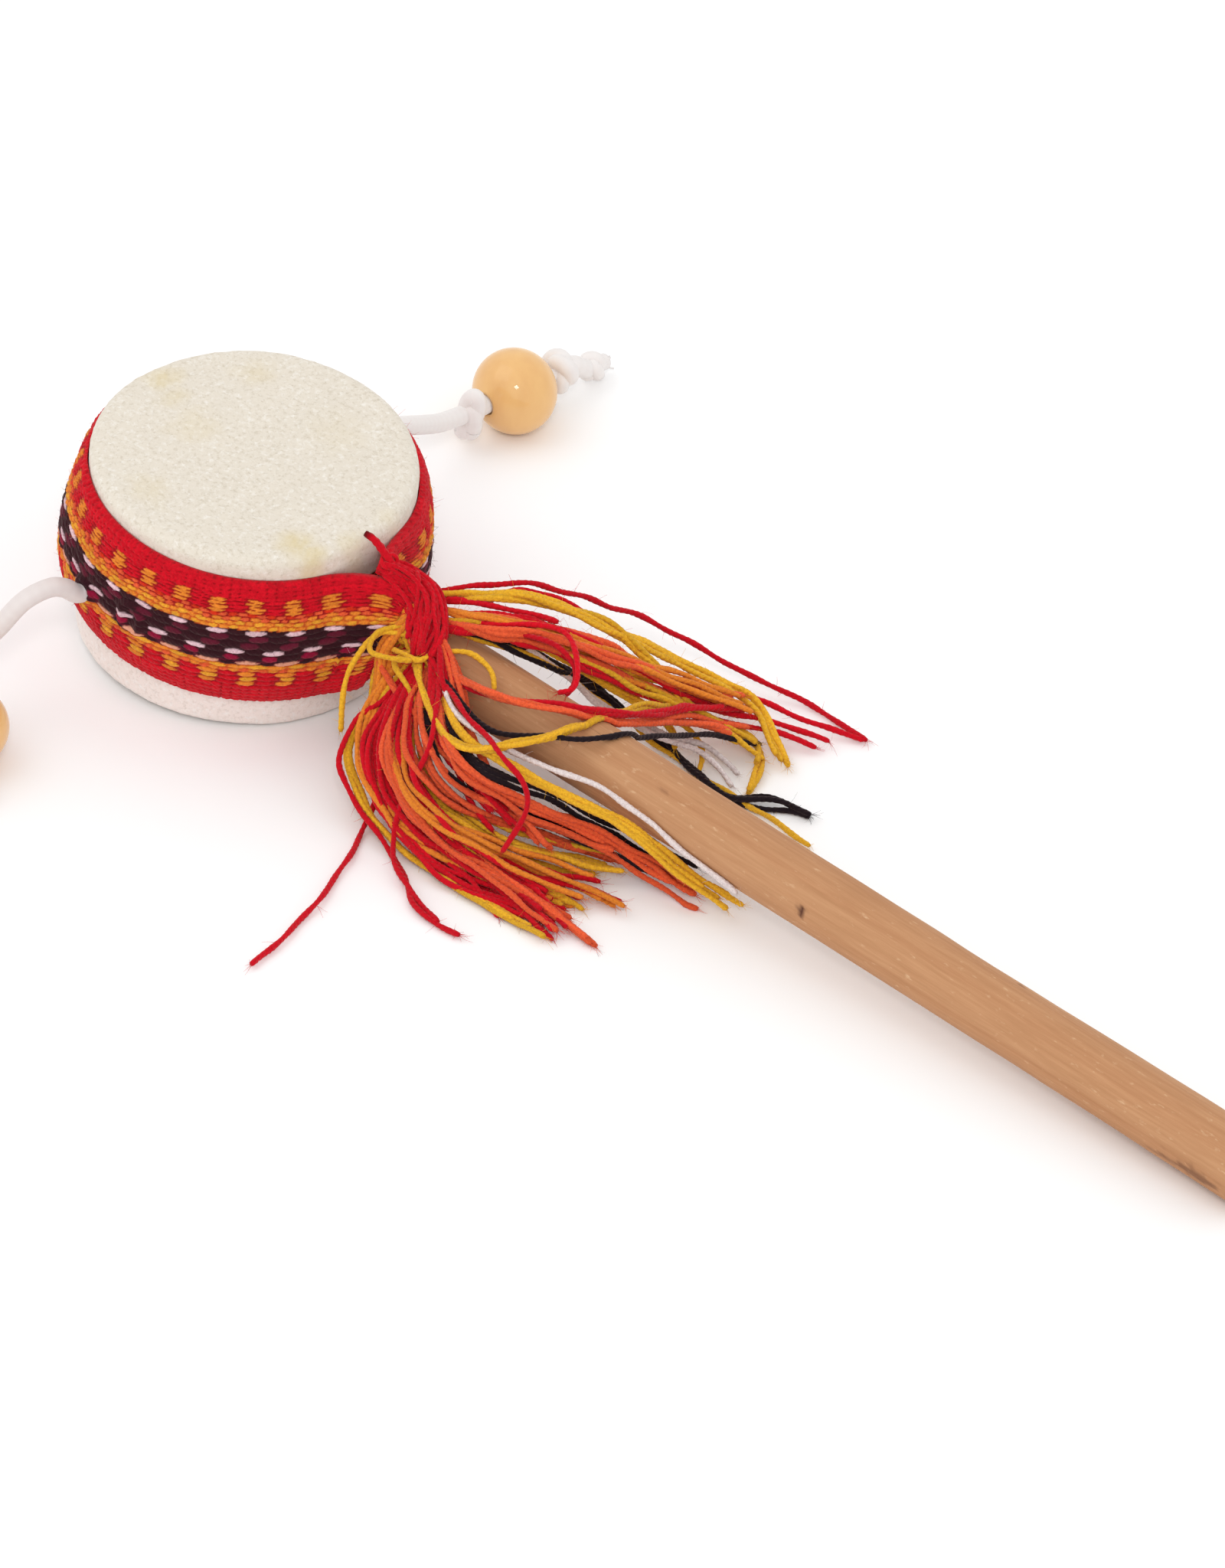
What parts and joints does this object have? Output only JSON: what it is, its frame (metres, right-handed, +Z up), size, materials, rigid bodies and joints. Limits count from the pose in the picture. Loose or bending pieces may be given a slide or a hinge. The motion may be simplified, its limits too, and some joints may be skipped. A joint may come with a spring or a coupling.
{
  "type": "pellet drum",
  "caption": "Small two-headed pellet drum on a stick handle, with a woven wool band, a loose wool tassel and a wooden bead on a knotted cord at each side.",
  "frame": {"origin": "on the surface that the drum lies on, under the middle of the box of the drum, stick, band and beads", "axes": "+X along the stick from the drum to its free end, +Z up as it lies, +Y to the side of the far bead"},
  "size_m": [0.2592, 0.1753, 0.0405],
  "materials": {
    "head_skin": "scraped undyed rawhide, matt and finely speckled, with a few tan stains",
    "shell_wood": "plain turned softwood ring, hidden under the skins and the band",
    "band_wool": "warp-faced wool braid in red, coral, gold, near-black and pink-white",
    "stick_wood": "bare peeled stick, satin, with fine long grain and one small dark knot",
    "tie_wool": "crimson two-ply wool yarn, wrapped tight",
    "fringe_wool": "loose two-ply wool yarns in crimson, coral, gold, black and white",
    "cord_braid": "smooth off-white braided cord with a slight satin sheen",
    "bead_wood": "orange-yellow varnished wood, glossy"
  },
  "bodies": {
    "root": {"drum_shell": "shell_wood", "upper_head": "head_skin", "lower_head": "head_skin", "woven_band": "band_wool", "handle": "stick_wood", "tie_binding": "tie_wool", "near_fringe": "fringe_wool", "far_fringe": "fringe_wool", "near_cord": "cord_braid", "near_inner_knot": "cord_braid", "near_bead": "bead_wood", "near_outer_knot": "cord_braid", "near_end_knot": "cord_braid", "far_cord": "cord_braid", "far_inner_knot": "cord_braid", "far_bead": "bead_wood", "far_outer_knot": "cord_braid", "far_end_knot": "cord_braid"}
  },
  "joints": []
}
